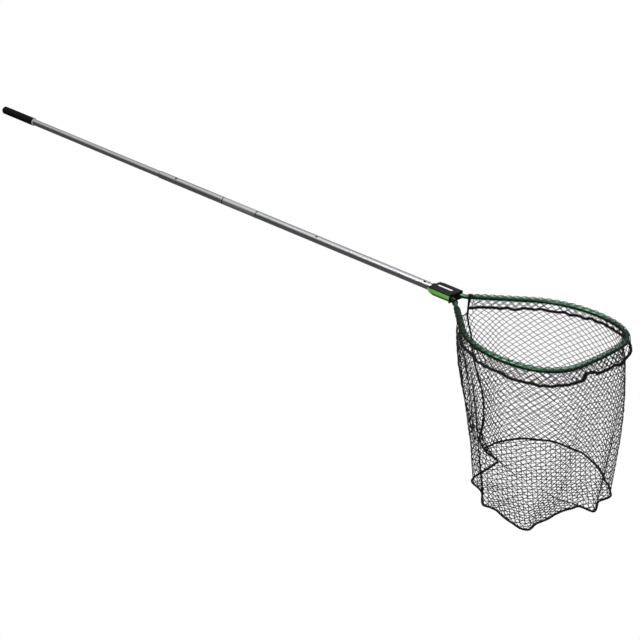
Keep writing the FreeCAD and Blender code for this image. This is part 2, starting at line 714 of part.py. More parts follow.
def bag_edges(inset, z, lean, nose):
    """A closed outline parallel to the hoop, rounded off at the yoke."""
    outline = HoopOutline(inset)
    nose_centre = HoopOutline().nose(nose)
    nose_radius = nose - inset
    half_turn = math.pi / 2 + outline.leg
    nose_top = nose_centre + outline.ray(half_turn) * nose_radius
    front_centre, front_radius, first, last = outline.arcs[0]
    edges = [arc_edge(front_centre, front_radius, -last, last)]
    edges += [arc_edge(*arc) for arc in outline.arcs[1:]]
    edges.append(line_edge(outline.leg_top, nose_top))
    edges.append(arc_edge(nose_centre, nose_radius, half_turn, 2 * math.pi - half_turn))
    edges.append(line_edge(outline.leg_top, nose_top, -1))
    edges += [arc_edge(*arc, -1) for arc in reversed(outline.arcs[1:])]
    for edge in edges:
        edge.translate(V(lean, 0, z))
    return edges


def bag_wire(inset, z, lean, nose):
    return Part.Wire(bag_edges(inset, z, lean, nose))


def skin(top, bottom):
    return Part.makeLoft([top, bottom], True, True)


def at_depth(inset, depth):
    """The bag's outline at a depth below the hoop's plane, on the wall's slant."""
    share = (depth - size("bag_drop")) / size("bag_depth - bag_drop")
    nose = size("bag_nose") + share * size("bottom_nose - bag_nose")
    return inset + share * size("bag_taper"), -depth, share * size("bag_lean"), nose


def net_wall():
    """The netting's side wall, open at the top and at the bottom."""
    top, bottom = size("bag_drop"), size("bag_depth")
    wall = size("bag_wall")
    outer = skin(bag_wire(*at_depth(0, top)), bag_wire(*at_depth(0, bottom)))
    inner = skin(bag_wire(*at_depth(wall, top)), bag_wire(*at_depth(wall, bottom)))
    add_shape("net_wall", outer.cut(inner))


def net_bottom():
    """The sagging bottom panel: a shallow dish below the wall's lower edge."""
    seam_inset, seam_z, lean, nose = at_depth(0, size("bag_depth"))
    deep_inset = seam_inset + size("bag_sag_inset")
    sag, wall = size("bag_sag"), size("bag_wall")
    outer = skin(bag_wire(seam_inset, seam_z, lean, nose), bag_wire(deep_inset, seam_z - sag, lean, nose))
    inner = skin(bag_wire(seam_inset + wall, seam_z, lean, nose),
                 bag_wire(deep_inset + wall, seam_z - sag + wall, lean, nose))
    add_shape("net_bottom", outer.cut(inner))


def mesh_band():
    """The doubled mesh below the hoop, outside the wall."""
    top, bottom = size("bag_drop"), size("band_depth")
    gap, wall = size("band_gap"), size("band_wall")
    outer = skin(bag_wire(*at_depth(-gap - wall, top)), bag_wire(*at_depth(-gap - wall, bottom)))
    inner = skin(bag_wire(*at_depth(-gap, top)), bag_wire(*at_depth(-gap, bottom)))
    add_shape("mesh_band", outer.cut(inner))


def loop_cord(label, diameter, inset, depth):
    """A cord round the bag at a depth, made in two halves that meet face to face."""
    radius = size(diameter) / 2
    place = at_depth(inset - radius, depth)
    edges = bag_edges(*place)
    add_shape(label, swept_loop(edges, radius))


def swept_loop(edges, radius):
    bars = []
    for edge in edges:
        at, along = edge.valueAt(edge.FirstParameter), edge.tangentAt(edge.FirstParameter)
        ring = Part.Wire(Part.Circle(at, along, radius).toShape())
        bars.append(Part.Wire([edge]).makePipeShell([ring], True, False))
    loop = bars[0].multiFuse(bars[1:])
    return loop.removeSplitter()


def cords():
    gap = size("cord_gap")
    loop_cord("hem_cord", "hem_diameter", -size("band_gap + band_wall") - gap, size("band_depth"))
    loop_cord("bottom_cord", "bottom_cord_diameter", -gap, size("bag_depth"))
    radius = size("seam_cord_diameter / 2")
    clear_hem = size("band_depth + hem_diameter / 2") + gap + radius
    clear_bottom = size("bag_depth - bottom_cord_diameter / 2") - gap - radius
    ends = []
    for depth in (clear_hem, clear_bottom):
        inset, z, lean, nose = at_depth(-gap - radius, depth)
        nose_x = HoopOutline().nose(nose).x - nose + inset + lean
        ends.append(V(nose_x, 0, z))
    bar = Part.makeCylinder(radius, (ends[1] - ends[0]).Length, ends[0], ends[1] - ends[0])
    add_shape("seam_cord", bar)


def head():
    tube("stub_tube", "stub_rear", "stub_front", "inner_bore", "inner_od", ["head_reach"])
    end_plug("stub_plug", "stub_rear", 1)
    snap_spring("head_spring", "head_reach")
    snap_button("head_button", "head_reach")
    yoke_base()
    yoke_cover()
    yoke_trim()
    yoke_screws()
    hoop()
    net_wall()
    net_bottom()
    mesh_band()
    cords()


# ---------------------------------------------------------------- checks and files

def check_document():
    doc.recompute()
    for obj in doc.Objects:
        if "Invalid" in obj.State or "Error" in obj.State:
            raise RuntimeError("%s failed: %s" % (obj.Name, obj.State))
    for obj in nodes:
        shape = obj.Shape
        if shape.isNull() or not shape.isValid() or shape.Volume <= 0:
            raise RuntimeError("%s has no valid solid" % obj.Label)
        if len(shape.Solids) != 1:
            raise RuntimeError("%s has %d solids" % (obj.Label, len(shape.Solids)))


def write_parts():
    os.makedirs("parts", exist_ok=True)
    for obj in nodes:
        obj.Shape.exportStep("parts/%s.step" % obj.Label)
        box = obj.Shape.BoundBox
        print("%-18s %10.0f mm3  x %8.1f %8.1f  y %7.1f %7.1f  z %7.1f %7.1f" % (
            obj.Label, obj.Shape.Volume, box.XMin, box.XMax, box.YMin, box.YMax, box.ZMin, box.ZMax))


rear_handle()
main_handle()
head()
check_document()
write_parts()
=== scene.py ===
import math

import bmesh
import bpy
from bpy.props import FloatProperty, FloatVectorProperty, IntProperty, PointerProperty
from mathutils import Matrix, Vector, noise
from mathutils.bvhtree import BVHTree
from mathutils.geometry import convex_hull_2d


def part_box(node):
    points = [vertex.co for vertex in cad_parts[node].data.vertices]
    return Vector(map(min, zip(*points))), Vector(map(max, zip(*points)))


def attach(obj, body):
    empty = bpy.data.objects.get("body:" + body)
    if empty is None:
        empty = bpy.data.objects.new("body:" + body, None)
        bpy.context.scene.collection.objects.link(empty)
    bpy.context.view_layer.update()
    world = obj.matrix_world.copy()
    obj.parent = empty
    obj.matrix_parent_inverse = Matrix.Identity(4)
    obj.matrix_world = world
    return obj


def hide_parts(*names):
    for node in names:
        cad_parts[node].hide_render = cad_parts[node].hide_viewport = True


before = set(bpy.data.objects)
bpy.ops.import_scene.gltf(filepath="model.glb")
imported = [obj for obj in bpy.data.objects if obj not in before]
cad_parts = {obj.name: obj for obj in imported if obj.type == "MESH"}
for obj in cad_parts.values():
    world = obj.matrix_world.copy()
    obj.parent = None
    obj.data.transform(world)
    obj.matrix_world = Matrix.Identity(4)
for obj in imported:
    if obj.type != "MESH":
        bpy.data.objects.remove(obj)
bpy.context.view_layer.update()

bl_info = {
    "name": "Landing net",
    "version": (1, 0, 0),
    "blender": (4, 5, 0),
    "location": "View3D > Sidebar > Net",
    "description": "Builds the looks of a landing net round its frame",
    "category": "Object",
}

UP = Vector((0, 0, 1))

# Places and sizes that come from the frame, in metres.
HOOP_LOW, HOOP_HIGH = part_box("hoop_tube")
GRIP_LOW, GRIP_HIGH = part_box("grip_sleeve")
WALL_LOW, WALL_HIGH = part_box("net_wall")
PANEL_LOW, PANEL_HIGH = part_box("net_bottom")
STOP_LOW, STOP_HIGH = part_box("mesh_stop_left")
HEM_LOW, HEM_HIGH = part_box("hem_cord")
SEAM_LOW, SEAM_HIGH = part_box("seam_cord")
BOTTOM_CORD_LOW, BOTTOM_CORD_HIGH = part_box("bottom_cord")
HOOP_RADIUS = (HOOP_HIGH.z - HOOP_LOW.z) / 2
GRIP_RADIUS = (GRIP_HIGH.z - GRIP_LOW.z) / 2
HEM_RADIUS = (HEM_HIGH.z - HEM_LOW.z) / 2
CORD_RADIUS = (BOTTOM_CORD_HIGH.z - BOTTOM_CORD_LOW.z) / 2
SEAM_RADIUS = (SEAM_HIGH.y - SEAM_LOW.y) / 2
YOKE_FRONT = Vector((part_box("yoke_cover")[1].x, 0, 0))


# ------------------------------------------------------------------ settings

def colour(name, default, description):
    return FloatVectorProperty(name=name, default=default, size=3, min=0, max=1, subtype="COLOR",
                               description=description)


def length(name, default, description):
    return FloatProperty(name=name, default=default, unit="LENGTH", description=description)


class HandleSettings(bpy.types.PropertyGroup):
    tube: colour("Tube", (0.62, 0.63, 0.65), "Satin anodised aluminium of the handle tubes")
    grip: colour("Grip", (0.003, 0.003, 0.0033), "Foam rubber of the grip")
    ring: colour("Trim ring", (0.60, 0.60, 0.58), "Pale ring in front of the grip")
    knurl_depth: length("Knurl depth", 0.0004, "Depth of the grip's crossed grooves")
    knurl_starts: IntProperty(name="Knurl starts", default=14, min=4,
                              description="Grooves round the grip, each way")


class YokeSettings(bpy.types.PropertyGroup):
    base: colour("Base", (0.20, 0.62, 0.10), "Lime green nylon of the yoke's base")
    cover: colour("Cover", (0.004, 0.005, 0.0045), "Black nylon of the yoke's cover")
    plate: colour("Name plate", (0.78, 0.82, 0.79), "Blank pale plate on the cover")
    edge_round: length("Edge rounding", 0.0009, "Rounding of the moulded edges")


class HoopSettings(bpy.types.PropertyGroup):
    tube: colour("Tube", (0.022, 0.15, 0.055), "Green anodised hoop tube")


class NetSettings(bpy.types.PropertyGroup):
    colour: colour("Netting", (0.004, 0.004, 0.005), "Coated black netting")
    cell_width: length("Cell width", 0.028, "Netting cell across")
    cell_height: length("Cell height", 0.022, "Netting cell from top to bottom")
    strand: length("Strand", 0.0024, "Diameter of a strand")
    slack: length("Slack", 0.009, "Depth of the bag's soft vertical folds")
    joint: FloatProperty(name="Joint", default=0.20, min=0.05, max=0.45,
                         description="Half a joint's length over half a cell's height")
    unevenness: length("Unevenness", 0.0022, "How far the joints stray from a regular lattice")


class CordSettings(bpy.types.PropertyGroup):
    colour: colour("Cord", (0.004, 0.004, 0.0045), "Black laid cord")
    pitch: length("Pitch", 0.026, "One turn of the cord's strands")
    plump: FloatProperty(name="Plumpness", default=1.25, description="Cord with its mesh, over the bare cord")
    hem_plump: FloatProperty(name="Hem plumpness", default=1.1, description="The same for the hem cord")
    wave: length("Wave", 0.0065, "How far the hem cord waves up and down")
    mouth: length("Mouth cord", 0.0042, "Radius of the cords that tie the mouth at the yoke")


class StageSettings(bpy.types.PropertyGroup):
    floor: colour("Floor", (1.0, 1.0, 1.0), "Plain pale floor")
    floor_drop: length("Floor drop", 1.5, "Floor below the handle")
    lens: FloatProperty(name="Lens", default=95.6, description="Focal length in mm on a 36 mm sensor")
    azimuth: FloatProperty(name="Azimuth", default=math.radians(39.2), subtype="ANGLE",
                           description="Camera's turn from straight in front")
    elevation: FloatProperty(name="Elevation", default=math.radians(23.9), subtype="ANGLE",
                             description="Camera's height angle")
    roll: FloatProperty(name="Roll", default=math.radians(6.0), subtype="ANGLE",
                        description="Camera's roll to the right")
    distance: length("Distance", 5.9, "Camera from its target")


SETTINGS = {
    "handle": HandleSettings,
    "yoke": YokeSettings,
    "hoop": HoopSettings,
    "net": NetSettings,
    "cords": CordSettings,
    "stage": StageSettings,
}


class LandingNetSettings(bpy.types.PropertyGroup):
    handle: PointerProperty(type=HandleSettings, name="Handle", description="Handle and grip")
    yoke: PointerProperty(type=YokeSettings, name="Yoke", description="Yoke")
    hoop: PointerProperty(type=HoopSettings, name="Hoop", description="Hoop")
    net: PointerProperty(type=NetSettings, name="Net", description="Netting")
    cords: PointerProperty(type=CordSettings, name="Cords", description="Hem, seam and bottom cords")
    stage: PointerProperty(type=StageSettings, name="Stage", description="Floor, light and camera")


def settings():
    return bpy.context.scene.landing_net


# ------------------------------------------------------------------ materials

class Finish:
    """A material on Object coordinates, built node by node."""

    def __init__(self, name, base, roughness, metallic=0.0, **sockets):
        self.material = bpy.data.materials.new(name)
        self.material.use_nodes = True
        self.nodes = self.material.node_tree.nodes
        self.links = self.material.node_tree.links
        self.shader = self.nodes["Principled BSDF"]
        self.shader.inputs["Base Color"].default_value = (*base, 1)
        self.shader.inputs["Roughness"].default_value = roughness
        self.shader.inputs["Metallic"].default_value = metallic
        for socket, value in sockets.items():
            self.shader.inputs[socket.replace("_", " ")].default_value = value
        self.base = base

    def add(self, kind, **values):
        """A new node, with some of its inputs set."""
        node = self.nodes.new(kind)
        for name, value in values.items():
            node.inputs[name].default_value = value
        return node

    def coordinates(self, scale=(1, 1, 1)):
        """Object coordinates, stretched."""
        place = self.add("ShaderNodeMapping")
        place.inputs["Scale"].default_value = scale
        where = self.add("ShaderNodeTexCoord")
        self.links.new(where.outputs["Object"], place.inputs["Vector"])
        return place.outputs["Vector"]

    def grain(self, scale, detail=3.0, stretch=(1, 1, 1)):
        texture = self.add("ShaderNodeTexNoise", Scale=scale, Detail=detail)
        self.links.new(self.coordinates(stretch), texture.inputs["Vector"])
        return texture.outputs["Fac"]

    def cells(self, scale):
        texture = self.add("ShaderNodeTexVoronoi", Scale=scale)
        self.links.new(self.coordinates(), texture.inputs["Vector"])
        return texture.outputs["Distance"]

    def spread(self, value, low, high):
        """A value between 0 and 1 spread between two others."""
        node = self.add("ShaderNodeMapRange")
        node.inputs["To Min"].default_value = low
        node.inputs["To Max"].default_value = high
        self.links.new(value, node.inputs["Value"])
        return node.outputs["Result"]

    def vary_roughness(self, value, low, high):
        self.links.new(self.spread(value, low, high), self.shader.inputs["Roughness"])

    def vary_colour(self, value, dark, light):
        """The base colour, darkened and lightened by a pattern."""
        ramp = self.add("ShaderNodeValToRGB")
        ramp.color_ramp.elements[0].position = 0.3
        ramp.color_ramp.elements[1].position = 0.7
        ramp.color_ramp.elements[0].color = (*[c * dark for c in self.base], 1)
        ramp.color_ramp.elements[1].color = (*[min(c * light, 1) for c in self.base], 1)
        self.links.new(value, ramp.inputs["Fac"])
        self.links.new(ramp.outputs["Color"], self.shader.inputs["Base Color"])

    def bump(self, value, distance, strength):
        node = self.add("ShaderNodeBump", Strength=strength, Distance=distance)
        self.links.new(value, node.inputs["Height"])
        self.links.new(node.outputs["Normal"], self.shader.inputs["Normal"])


def tube_finish(name, base):
    """Satin anodised aluminium, drawn along its length."""
    finish = Finish(name, base, 0.30, 1.0, Anisotropic=0.35)
    along = (1.5, 90, 90)
    finish.vary_roughness(finish.grain(9, 4, along), 0.24, 0.40)
    finish.vary_colour(finish.grain(5, 3, (1, 30, 30)), 0.90, 1.06)
    finish.bump(finish.grain(14, 2, along), 0.00003, 0.5)
    return finish.material


def moulded_finish(name, base, roughness, coat=0.0, specular=0.5):
    """Glass-filled nylon with a fine spark-eroded grain."""
    finish = Finish(name, base, roughness, Specular_IOR_Level=specular, Coat_Weight=coat,
                    Coat_Roughness=0.25)
    finish.vary_roughness(finish.grain(260, 2), roughness - 0.07, roughness + 0.09)
    finish.vary_colour(finish.grain(40, 3), 0.88, 1.10)
    finish.bump(finish.cells(1500), 0.00004, 0.35)
    return finish.material


def rubber_finish(name, base):
    """Foam rubber: matt, pebbled, a little dusty in its hollows."""
    finish = Finish(name, base, 0.82, Specular_IOR_Level=0.12)
    finish.vary_colour(finish.grain(90, 4), 0.7, 1.9)
    finish.vary_roughness(finish.grain(320, 2), 0.70, 0.94)
    finish.bump(finish.cells(900), 0.00012, 0.6)
    return finish.material


def anodised_finish(name, base):
    """Green anodised tube: a dyed clear layer over satin metal."""
    finish = Finish(name, base, 0.30, 0.95, Coat_Weight=1.0, Coat_Roughness=0.30)
    finish.vary_roughness(finish.grain(60, 3), 0.25, 0.38)
    finish.vary_colour(finish.grain(22, 4), 0.80, 1.25)
    finish.bump(finish.grain(900, 2), 0.00002, 0.4)
    return finish.material


def steel_finish(name):
    finish = Finish(name, (0.50, 0.50, 0.51), 0.32, 1.0)
    finish.vary_roughness(finish.grain(400, 3), 0.22, 0.45)
    finish.bump(finish.grain(1200, 2), 0.00002, 0.5)
    return finish.material


def coated_twine_finish(name, base):
    """Knitted twine under a rubbery coat: faint ribs and a dull shine."""
    finish = Finish(name, base, 0.52, Specular_IOR_Level=0.3)
    finish.vary_colour(finish.grain(35, 3), 0.65, 1.7)
    finish.vary_roughness(finish.grain(500, 2), 0.42, 0.66)
    finish.bump(finish.grain(1400, 2), 0.00020, 0.6)
    return finish.material


def laid_cord_finish(name, base):
    """Soft laid cord: fine fibres that follow each strand."""
    finish = Finish(name, base, 0.80, Specular_IOR_Level=0.3, Sheen_Weight=0.04, Sheen_Roughness=0.45)
    finish.vary_colour(finish.grain(220, 4), 0.6, 2.0)
    finish.vary_roughness(finish.grain(300, 2), 0.70, 0.92)
    finish.bump(finish.grain(2200, 3), 0.00025, 0.8)
    return finish.material


def band_finish(name, base):
    """A blank printed band: the tube's metal between two plain dark rings."""
    low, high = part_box("label_band")
    finish = Finish(name, base, 0.33, 0.9)
    finish.vary_roughness(finish.grain(9, 3, (1.5, 90, 90)), 0.26, 0.40)
    split = finish.add("ShaderNodeSeparateXYZ")
    finish.links.new(finish.coordinates(), split.inputs["Vector"])
    rings = finish.add("ShaderNodeValToRGB")
    rings.color_ramp.interpolation = "CONSTANT"
    metal, ink = (*base, 1), (0.05, 0.10, 0.07, 1)
    elements = rings.color_ramp.elements
    elements[0].color = metal
    for place, shade in ((0.02, ink), (0.05, metal), (0.95, ink), (0.98, metal)):
        element = elements.new(place)
        element.color = shade
    elements[-1].color = metal
    span = finish.add("ShaderNodeMapRange")
    span.inputs["From Min"].default_value = low.x
    span.inputs["From Max"].default_value = high.x
    finish.links.new(split.outputs["X"], span.inputs["Value"])
    finish.links.new(span.outputs["Result"], rings.inputs["Fac"])
    finish.links.new(rings.outputs["Color"], finish.shader.inputs["Base Color"])
    return finish.material


# ------------------------------------------------------------------ meshes

def dress(obj, material):
    """Gives an object one material and nothing else."""
    obj.data.materials.clear()
    obj.data.materials.append(material)


def dress_nodes(material, *names):
    """Gives CAD nodes that stay shown their material."""
    for name in names:
        dress(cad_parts[name], material)


def add_piece(name, bm, material, body, slot, replaced=(), smooth=True):
    """Makes an object of a bmesh, riding on a body."""
    mesh = bpy.data.meshes.new(name)
    bm.to_mesh(mesh)
    bm.free()
    add_mesh(name, mesh, material, body, slot, replaced, smooth)


def add_mesh(name, mesh, material, body, slot, replaced=(), smooth=True):
    """Makes an object of a mesh, riding on a body."""
    obj = bpy.data.objects.new(name, mesh)
    bpy.context.scene.collection.objects.link(obj)
    for polygon in mesh.polygons:
        polygon.use_smooth = smooth
    dress(obj, material)
    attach(obj, body)
    if replaced:
        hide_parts(*replaced)


def merged_copy(node):
    """A CAD node's shape as a clean bmesh with shared corners and flat faces joined."""
    bm = bmesh.new()
    bm.from_mesh(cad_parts[node].data)
    bmesh.ops.remove_doubles(bm, verts=bm.verts, dist=0.00001)
    bmesh.ops.dissolve_limit(bm, angle_limit=math.radians(1), verts=bm.verts, edges=bm.edges)
    return bm


def soften_edges(bm, width):
    """Rounds the sharp edges of a moulding."""
    sharp_angle = math.radians(35)
    sharp = [e for e in bm.edges if len(e.link_faces) == 2 and e.calc_face_angle(0) > sharp_angle]
    bmesh.ops.bevel(bm, geom=sharp, offset=width, offset_type="OFFSET", segments=2, profile=0.5,
                    affect="EDGES", clamp_overlap=True, material=-1)


def curve_mesh(name, lines, radius, cyclic=False, resolution=3, bevel=1):
    """Round strands along smooth lines, as one mesh. With no radius, the lines alone."""
    curve = bpy.data.curves.new(name, "CURVE")
    curve.dimensions = "3D"
    curve.resolution_u = resolution
    curve.bevel_depth = radius
    curve.bevel_resolution = bevel
    curve.use_fill_caps = radius > 0
    for line in lines:
        spline = curve.splines.new("NURBS")
        spline.points.add(len(line) - 1)
        for point, place in zip(spline.points, line):
            point.co = (*place, 1)
        spline.use_cyclic_u = cyclic
        spline.order_u = 3
        spline.use_endpoint_u = not cyclic
    holder = bpy.data.objects.new(name, curve)
    bpy.context.scene.collection.objects.link(holder)
    bpy.context.view_layer.update()
    depsgraph = bpy.context.evaluated_depsgraph_get()
    mesh = bpy.data.meshes.new_from_object(holder.evaluated_get(depsgraph))
    bpy.data.objects.remove(holder)
    bpy.data.curves.remove(curve)
    return mesh


def line_points(line, cyclic, resolution=10):
    """Points read from a smooth line through its control points, in order."""
    mesh = curve_mesh("line", [line], 0, cyclic, resolution)
    points = [v.co.copy() for v in mesh.vertices]
    bpy.data.meshes.remove(mesh)
    return points


def evenly(points, step, cyclic):
    """Points at an even step along a polyline."""
    loop = points + [points[0]] if cyclic else points
    lengths = [(b - a).length for a, b in zip(loop, loop[1:])]
    total = sum(lengths)
    count = max(round(total / step), 4)
    places, walked, index = [], 0.0, 0
    for i in range(count if cyclic else count + 1):
        target = total * i / count
        while index < len(lengths) - 1 and walked + lengths[index] < target:
            walked += lengths[index]
            index += 1
        share = (target - walked) / max(lengths[index], 1e-9)
        places.append(loop[index].lerp(loop[index + 1], min(share, 1)))
    return places


def laid_cord(name, line, radius, material, pitch, cyclic=False, replaced=()):
    """A three-strand laid cord along a line."""
    strand = radius * 0.54
    axis_radius = radius - strand
    places = evenly(line_points(line, cyclic), pitch / 8, cyclic)
    count = len(places)
    turns = max(round(count / 8), 1)
    side = None
    strands = [[], [], []]
    for i, place in enumerate(places):
        following = places[(i + 1) % count] if cyclic or i < count - 1 else place
        before = places[i - 1] if cyclic or i > 0 else place
        along = (following - before).normalized()
        if side is None:
            side = along.cross(UP if abs(along.z) < 0.9 else Vector((1, 0, 0))).normalized()
        side = (side - along * side.dot(along)).normalized()
        across = along.cross(side)
        for k in range(3):
            angle = 2 * math.pi * (turns * i / count + k / 3)
            strands[k].append(place + (side * math.cos(angle) + across * math.sin(angle)) * axis_radius)
    mesh = curve_mesh(name, strands, strand, cyclic, 2, 1)
    add_mesh(name, mesh, material, "head", "net_cord", replaced)


# ------------------------------------------------------------------ the bag's surface

class Outline:
    """A convex outline read from a CAD skin's rim, walked by share of its length.

    Share 0 is the point nearest the yoke, on the handle's axis, and shares grow towards -Y.
    """

    def __init__(self, node, level):
        rim = [v.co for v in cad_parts[node].data.vertices if abs(v.co.z - level) < 0.0002]
        flat = [co.to_2d() for co in rim]
        corners = [flat[i] for i in convex_hull_2d(flat)]
        loop = [Vector((c.x, c.y, 0)) for c in corners]
        first = min(range(len(loop)), key=lambda i: (loop[i].x, abs(loop[i].y)))
        loop = loop[first:] + loop[:first]
        if loop[len(loop) // 4].y > 0:
            loop = [loop[0]] + loop[:0:-1]
        even = evenly(loop, 0.004, True)
        for _ in range(6):
            even = [(even[i - 1] + even[i] * 2 + even[(i + 1) % len(even)]) / 4 for i in range(len(even))]
        self.points = even
        ends = even + [even[0]]
        self.length = sum((b - a).length for a, b in zip(ends, ends[1:]))
        self.centre = sum(even, Vector()) / len(even)

    def at(self, share):
        place = (share % 1.0) * len(self.points)
        i = int(place) % len(self.points)
        return self.points[i].lerp(self.points[(i + 1) % len(self.points)], place - int(place))

    def outwards(self, share):
        along = self.at(share + 0.004) - self.at(share - 0.004)
        side = Vector((along.y, -along.x, 0)).normalized()
        if side.dot(self.at(share) - self.centre) < 0:
            side.negate()
        return side


def smooth(value):
    value = min(max(value, 0), 1)
    return value * value * (3 - 2 * value)


def centred(share):
    """A share from -0.5 to 0.5, with 0 nearest the yoke."""
    return (share + 0.5) % 1.0 - 0.5


class Bag:
    """The bag's draped surface: wall rows from the hoop down, then rings of the bottom panel."""

    COLUMNS = 96
    WALL_ROWS = 40
    PANEL_ROWS = 12
    # How the bottom seam hangs: share round the rim, how far it is pulled forwards, sideways and up
    # from its cut, in metres, and how late the pull grows down the wall.
    HANG = (
        (0.00, 0.050, 0.046, 0.027, 0.55),
        (0.05, 0.128, 0.086, 0.030, 2.6),
        (0.14, 0.045, 0.055, 0.005, 0.8),
        (0.18, 0.066, 0.064, 0.012, 1.0),
        (0.24, 0.018, 0.040, -0.005, 1.5),
        (0.28, 0.005, 0.038, 0.005, 1.5),
        (0.37, -0.003, -0.007, -0.020, 2.0),
        (0.41, -0.029, -0.012, -0.006, 2.0),
        (0.50, 0.000, 0.026, 0.000, 2.0),
        (0.55, 0.030, 0.002, -0.025, 2.0),
        (0.58, 0.022, -0.004, -0.010, 2.0),
        (0.61, 0.043, 0.005, -0.005, 2.0),
        (0.66, 0.028, 0.018, 0.000, 2.0),
        (0.74, 0.019, 0.016, 0.040, 2.0),
        (0.80, 0.013, 0.010, 0.050, 2.0),
        (0.86, 0.019, -0.006, 0.050, 2.0),
        (0.91, 0.026, -0.009, 0.040, 2.0),
    )
    # How the mouth hangs between the hoop's legs: share, forwards, sideways and down.
    MOUTH = (
        (-0.05, 0.000, 0.000, 0.000),
        (-0.02, -0.010, 0.001, 0.054),
        (0.00, -0.019, 0.037, 0.050),
        (0.02, 0.013, 0.011, 0.036),
        (0.052, 0.000, 0.000, 0.002),
    )
    MOUTH_START, MOUTH_END = -0.0205, 0.052
    # Share of the wall's depth that the mouth takes up.
    MOUTH_SHARE = 0.06
    # How far round the rim, as a share, the mesh follows the seam's wander.
    SEAM_REACH = 0.06
    BELLY = 0.022
    # Share round the rim where the hem stands out most, and how far it stands out elsewhere and there.
    FLARE_AT, FLARE_WIDTH, FLARE_LEAST, FLARE_MORE = 0.56, 0.12, 0.004, 0.010
    # Shares between which the band goes from nothing to its full reach outside the hoop.
    BAND_START, BAND_GROWTH = 0.10, 0.09
    # How the seam nearest the yoke wanders sideways: share of the wall's depth, sideways.
    SEAM = (
        (0.00, 0.000), (0.08, 0.000), (0.12, -0.010), (0.18, -0.004), (0.25, 0.000), (0.38, -0.010),
        (0.46, -0.002), (0.58, 0.013), (0.66, 0.017), (0.77, 0.011), (0.83, 0.003), (0.88, -0.022),
        (0.92, -0.032), (0.96, -0.021), (1.00, -0.006),
    )
    # How far the hem cord hangs below the hoop's plane round the rim.
    HEM = (
        (0.05, 0.012), (0.14, 0.018), (0.18, 0.022), (0.22, 0.030), (0.26, 0.036), (0.30, 0.042),
        (0.36, 0.047), (0.444, 0.049), (0.449, 0.026), (0.47, 0.031), (0.50, 0.042), (0.55, 0.042),
        (0.60, 0.034), (0.66, 0.034), (0.72, 0.030), (0.80, 0.037), (0.90, 0.040), (1.0, 0.042),
    )

    def __init__(self, slack):
        self.top = Outline("net_wall", WALL_HIGH.z)
        self.bottom = Outline("net_wall", WALL_LOW.z)
        self.slack = slack
        self.grid = self.shaped()

    @staticmethod
    def between(rows, share):
        """The two rows of a table on both sides of a share, and the way from one to the other."""
        for before, after in zip(rows, rows[1:]):
            if before[0] <= share <= after[0]:
                way = (share - before[0]) / (after[0] - before[0])
                return before, after, (way + smooth(way)) / 2
        return None

    def pull(self, share, depth_share):
        """How far the wall hangs from its cut."""
        below = max(depth_share - self.MOUTH_SHARE, 0) / (1 - self.MOUTH_SHARE)
        first = self.HANG[0]
        before, after, way = self.between(self.HANG + ((1.0, *first[1:]),), share)
        pulls = [Vector(row[1:4]) * below ** row[4] for row in (before, after)]
        offset = pulls[0].lerp(pulls[1], way)
        before, after, way = self.between(self.SEAM, depth_share)
        sway = before[1] + (after[1] - before[1]) * way
        offset += Vector((0, sway * smooth(1 - abs(centred(share)) / self.SEAM_REACH), 0))
        mouth = self.between(self.MOUTH, centred(share))
        if mouth:
            before, after, way = mouth
            tug = Vector((*before[1:3], 0)).lerp(Vector((*after[1:3], 0)), way)
            offset += tug * (1 - smooth(depth_share * 3.5))
        return offset

    def mouth_drop(self, share):
        """How far the mouth's edge hangs between the legs, or None outside them."""
        if not self.MOUTH_START < centred(share) < self.MOUTH_END:
            return None
        before, after, way = self.between(self.MOUTH, centred(share))
        return before[3] + (after[3] - before[3]) * way

    def belly(self, share, depth_share):
        """The wall's soft swell outwards half way down, least beside the near leg."""
        away = smooth((abs(centred(share - 0.08)) - 0.10) / 0.12)
        return self.BELLY * away * math.sin(math.pi * depth_share)

    def hem_drop(self, share):
        """How far the hem cord hangs below the hoop's plane at a share."""
        found = self.between(self.HEM, share % 1.0)
        if not found:
            return self.HEM[0][1]
        before, after, way = found
        return before[1] + (after[1] - before[1]) * way

    def flare(self, share):
        """How far the hem stands out from the hoop: most at its far end."""
        nearness = smooth(1 - abs(share % 1.0 - self.FLARE_AT) / self.FLARE_WIDTH)
        return self.FLARE_LEAST + self.FLARE_MORE * nearness

    def reach(self, share):
        """How far the band hangs outside the hoop: from nothing beside the near leg to all of it."""
        return smooth((share % 1.0 - self.BAND_START) / self.BAND_GROWTH)

    def ripple(self, share, depth_share):
        """Soft vertical waves of the slack mesh."""
        turn = 2 * math.pi * share
        wide = noise.noise(Vector((math.cos(turn) * 2.6, math.sin(turn) * 2.6, depth_share * 0.7)))
        fine = noise.noise(Vector((math.cos(turn) * 7, math.sin(turn) * 7, 5 + depth_share * 0.9)))
        return self.slack * smooth(depth_share * 2.2) * (wide * 1.4 + fine * 0.8)

    def shaped(self):
        """The grid of the hung bag: its cut, with the belly, the ripples and the pull added."""
        rows = []
        top_z = WALL_HIGH.z
        for row in range(self.WALL_ROWS + 1):
            depth_share = row / self.WALL_ROWS
            ring = []
            for column in range(self.COLUMNS):
                share = column / self.COLUMNS
                place = self.top.at(share).lerp(self.bottom.at(share), depth_share)
                swell = self.belly(share, depth_share) - self.ripple(share, depth_share)
                place += self.bottom.outwards(share) * swell
                place.z = top_z + (WALL_LOW.z - top_z) * depth_share
                ring.append(place + self.pull(share, depth_share))
            rows.append(ring)
        seam = rows[-1]
        middle = sum(seam, Vector()) / len(seam)
        for row in range(1, self.PANEL_ROWS + 1):
            inwards = row / (self.PANEL_ROWS + 0.5)
            sag = (PANEL_HIGH.z - PANEL_LOW.z) * 0.75 * smooth(inwards * 1.6)
            rows.append([p.lerp(middle, inwards) - UP * sag for p in seam])
        return rows

